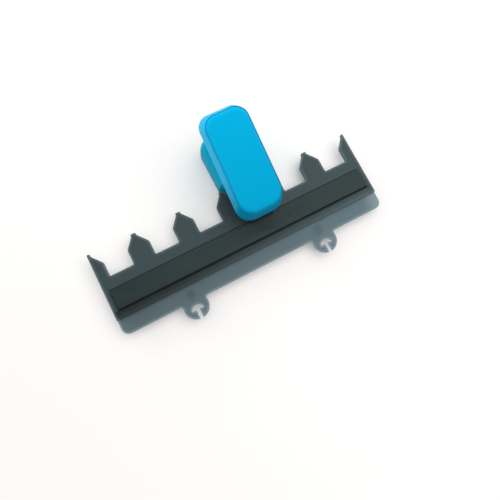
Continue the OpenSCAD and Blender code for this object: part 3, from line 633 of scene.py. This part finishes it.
def housing_ring(z, inset, front, prow):
    """Housing's outline at a height: a tapered prow in front, round corners at the rear."""
    turn = math.asin(min(1, max(0, (z - DOME_LOW) / DOME_HEIGHT)))
    inset = inset + DOME_WIDTH * (1 - math.cos(turn))
    half = (HOUSING_HIGH.x - HOUSING_LOW.x) / 2 - inset
    radius = max(HOUSING_CORNER - inset, HOUSING_LEAST_CORNER)
    points = corner_arcs(half, half, front, HOUSING_REAR - inset, radius, radius)
    corner = CORNER_STEPS + 1
    outline = [(half, front), *points[corner:3 * corner], (-half, front)]
    if prow > 0:
        tip = half - PROW_INSET
        outline += [(-tip, front - prow), (tip, front - prow)]
    return [(PIVOT.x + x, y, z) for x, y in outline]


def housing_block(low, high, inset, front, prow=0):
    """Housing's form between two heights, domed towards its top."""
    start = max(low, DOME_LOW)
    first, last = (math.asin((z - DOME_LOW) / DOME_HEIGHT) for z in (start, high))
    heights = [low] if start > low else []
    for i in range(DOME_STEPS + 1):
        heights.append(DOME_LOW + DOME_HEIGHT * math.sin(first + (last - first) * i / DOME_STEPS))
    return loft([housing_ring(z, inset, front, prow) for z in heights], "housing_block")


def housing_cutters():
    """Tray's channel and runners, room for the jaw, gap in the prow, finger arch, screw holes and hollow."""
    below, above, behind = HOUSING_LOW.z - PAST, HOUSING_HIGH.z + PAST, HOUSING_REAR + PAST
    under_deck = HOUSING_HIGH.z - DECK
    jaw = JAW_HALF + SLIDE_GAP
    runner_z = (RUNNER_Z - SLIDE_GAP, RUNNER_Z + RUNNER_THICK + SLIDE_GAP)
    arch_front = HOUSING_REAR - HOUSING_CORNER - HOUSING_WALL
    cutters = [
        slab(CHANNEL_HALF, (COLUMN_BACK, behind), (below, CHANNEL_TOP)),
        slab(CHANNEL_HALF + RUNNER_REACH, (COLUMN_BACK, behind), runner_z),
        slab(jaw, (HOUSING_FRONT - PAST, COLUMN_BACK + OVERLAP), (below, JAW_TOP + SLIDE_GAP)),
        slab(jaw, (HOUSING_FRONT - PROW_LENGTH - PAST, HOUSING_FRONT), (below, above)),
        bar((PIVOT.x, arch_front, CHANNEL_TOP), (PIVOT.x, behind, CHANNEL_TOP), ARCH_RADIUS),
    ]
    for y in DECK_SCREW_Y:
        cutters.append(bar((PIVOT.x, y, under_deck - PAST), (PIVOT.x, y, above), DECK_SCREW_HOLE / 2))
    hollow_front = HOUSING_FRONT + HOUSING_WALL
    cutters.append(housing_block(CHANNEL_TOP - OVERLAP, under_deck, HOUSING_WALL, hollow_front))
    return cutters


def housing(material):
    block = housing_block(HOUSING_LOW.z, HOUSING_HIGH.z, 0, HOUSING_FRONT, PROW_LENGTH)
    bm = bmesh.new()
    bm.from_mesh(cut(block, housing_cutters()))
    mend(bm, weld=0.002, flat=0.3)
    mesh = to_mesh(bm, "base_housing_shape")
    smooth(mesh)
    obj = new_object("base_housing_shape", mesh)
    bevel(obj, HOUSING_ROUND, segments=3, angle=35)
    stand_for(obj, "base_housing", "punch", material)


def spring(material):
    """Coil as one tube along a helix, with narrower ends."""
    x, y = (SPRING_LOW.x + SPRING_HIGH.x) / 2, (SPRING_LOW.y + SPRING_HIGH.y) / 2
    radius = (SPRING_HIGH.x - SPRING_LOW.x - WIRE) / 2
    low, high = SPRING_LOW.z + WIRE / 2, SPRING_HIGH.z - WIRE / 2
    count = SPRING_TURNS * STEPS_PER_TURN
    rings = []
    for i in range(count + 1):
        a = 2 * math.pi * i / STEPS_PER_TURN
        out = Vector((math.cos(a), math.sin(a), 0))
        centre = Vector((x, y, low + (high - low) * i / count)) + radius * out
        thick = WIRE / 2 * (WIRE_END if i in (0, count) else 1)
        rings.append([centre + u * out + Vector((0, 0, v)) for u, v in circle(thick, WIRE_SIDES)])
    mesh = loft(rings, "return_spring_shape")
    smooth(mesh, angle=50)
    obj = new_object("return_spring_shape", mesh)
    stand_for(obj, "return_spring", "punch", material)
    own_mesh(obj)


# Stage

def seen(tree):
    """Number that is 1 where the background is looked at, also in gloss and through clear parts."""
    path = tree.nodes.new("ShaderNodeLightPath")
    result = path.outputs["Is Camera Ray"]
    for kind in ("Is Glossy Ray", "Is Transmission Ray"):
        either = tree.nodes.new("ShaderNodeMath")
        either.operation = "MAXIMUM"
        tree.links.new(result, either.inputs[0])
        tree.links.new(path.outputs[kind], either.inputs[1])
        result = either.outputs[0]
    return result


def floor():
    """White floor, which glows a little where it is looked at, more so farther out."""
    corners = [(-FLOOR_HALF, -FLOOR_HALF, 0), (FLOOR_HALF, -FLOOR_HALF, 0)]
    corners += [(FLOOR_HALF, FLOOR_HALF, 0), (-FLOOR_HALF, FLOOR_HALF, 0)]
    mesh = bpy.data.meshes.new("floor")
    mesh.from_pydata(corners, [], [(0, 1, 2, 3)])
    obj = new_object("floor", mesh)
    s = Surface("floor", Base_Color=rgba(*FLOOR_COLOUR), Roughness=1, Specular_IOR_Level=0)
    distance = s.add("ShaderNodeVectorMath", {"operation": "LENGTH"}, Vector=s.place).outputs["Value"]
    glow = s.math("MULTIPLY", seen(s.tree), s.between(distance, *FLOOR_GLOW, *GLOW_DISTANCE))
    s.set(Emission_Color=rgba(1, 1, 1), Emission_Strength=glow)
    mesh.materials.append(s.material)


def area_light(name, place, target, size, power):
    data = bpy.data.lights.new(name, "AREA")
    data.size = size
    data.energy = power
    obj = new_object(name, data)
    obj.location = place
    obj.rotation_euler = (Vector(target) - Vector(place)).to_track_quat("-Z", "Y").to_euler()


def studio():
    """White background, with light from the sky that is stronger on one side, and two lamps."""
    world = bpy.data.worlds.new("studio")
    bpy.context.scene.world = world
    world.use_nodes = True
    tree = world.node_tree
    back = tree.nodes["Background"]
    back.inputs["Color"].default_value = rgba(1, 1, 1)
    slope = tree.nodes.new("ShaderNodeVectorMath")
    slope.operation = "DOT_PRODUCT"
    slope.inputs[1].default_value = SKY_SLOPE
    tree.links.new(tree.nodes.new("ShaderNodeTexCoord").outputs["Generated"], slope.inputs[0])
    sky = tree.nodes.new("ShaderNodeMapRange")
    sky.inputs["From Min"].default_value = -1
    sky.inputs["To Max"].default_value = 2 * SKY_LIGHT
    tree.links.new(slope.outputs["Value"], sky.inputs["Value"])
    strength = tree.nodes.new("ShaderNodeMapRange")
    strength.inputs["To Max"].default_value = 1
    tree.links.new(seen(tree), strength.inputs["Value"])
    tree.links.new(sky.outputs["Result"], strength.inputs["To Min"])
    tree.links.new(strength.outputs["Result"], back.inputs["Strength"])
    area_light("key", KEY_PLACE, KEY_TARGET, KEY_SIZE, KEY_POWER)
    area_light("fill", FILL_PLACE, FILL_TARGET, FILL_SIZE, FILL_POWER)


def camera():
    data = bpy.data.cameras.new("camera")
    data.lens = LENS
    data.sensor_width = SENSOR
    data.clip_start = NEAREST * MM
    obj = new_object("camera", data)
    obj.location = Vector(CAMERA_PLACE) * MM
    obj.rotation_euler = [math.radians(angle) for angle in CAMERA_TURN]
    bpy.context.scene.camera = obj


smoke_top = smoke_plastic("smoke_top", SMOKE_TOP, SMOKE_TOP_EDGE_LIGHT, alpha=0.85, painted_light_end=1.12, rail=True)
smoke_base = smoke_plastic("smoke_base", SMOKE_BASE, SMOKE_BASE_EDGE_LIGHT, alpha=0.73, painted_light_end=1.5)
lever_blue = blue_plastic("lever_blue", LEVER_BLUE, LEVER_WORN, gloss=0.06, painted_fade=LEVER_PAINTED_SHADE)
cap_blue = blue_plastic("cap_blue", CAP_BLUE, CAP_HIGHLIGHT, gloss=0.02, painted_fade=CAP_PAINTED_SHADE, edge_settings=CAP_HIGHLIGHT_EDGE)
body_blue = blue_plastic("body_blue", BODY_BLUE, BODY_WORN, gloss=0.03, painted_fade=BODY_PAINTED_SHADE)
black_rubber = rubber()
ground_steel = metal(
    "ground_steel",
    low=(0.42, 0.43, 0.44),
    high=(0.6, 0.61, 0.62),
    rough=(0.24, 0.38),
    grain=(1, 12, 1),
    grain_size=1.2,
    depth=0.004,
)
turned_steel = metal(
    "turned_steel",
    low=(0.48, 0.48, 0.49),
    high=(0.64, 0.64, 0.65),
    rough=(0.18, 0.3),
    grain=(12, 1, 1),
    grain_size=1,
    depth=0.003,
)
spring_steel = metal(
    "spring_steel",
    low=(0.36, 0.36, 0.37),
    high=(0.55, 0.55, 0.56),
    rough=(0.2, 0.34),
    grain=(1, 1, 1),
    grain_size=0.5,
    depth=0.003,
)

# Copied nodes: name, body, slot, material and rounding of edges
ROUNDED_COPIES = (
    ("base_plate", "guide", "clear_plate", smoke_base, 0.16),
    ("slot_spacers", "guide", "clear_plate", smoke_base, 0.1),
    ("top_plate", "guide", "clear_plate", smoke_top, 0.12),
    ("guide_feet", "guide", "rubber", black_rubber, 0.25),
    ("punch_frame", "punch", "cast", black_paint_and_shade(), 0.25),
    ("die_plate", "punch", "steel", ground_steel, 0.08),
    ("die_screws", "punch", "steel", turned_steel, 0.06),
    ("pivot_pin", "punch", "steel", turned_steel, 0.1),
    ("pivot_clips", "punch", "steel", spring_steel, 0.06),
    ("deck_screws", "punch", "steel", turned_steel, 0.15),
    ("base_pads", "punch", "rubber", black_rubber, 0.12),
    ("chip_tray", "tray", "tray", tray_plastic(), 0.15),
    ("lever_core", "lever", "steel", ground_steel, 0.15),
    ("core_screws", "lever", "steel", turned_steel, 0.1),
    ("punch_cutter", "cutter", "steel", ground_steel, 0.08),
    ("drive_pin", "cutter", "steel", turned_steel, 0.1),
    ("drive_clips", "cutter", "steel", spring_steel, 0.06),
)
for node, body, slot, material, width in ROUNDED_COPIES:
    rounded_copy(node, body, material, width)
cover_strip(strip_plastic())
lever_shell(lever_blue)
lever_cap(cap_blue)
housing(body_blue)
spring(spring_steel)
floor()
studio()
camera()

bpy.context.scene.view_settings.view_transform = "Standard"
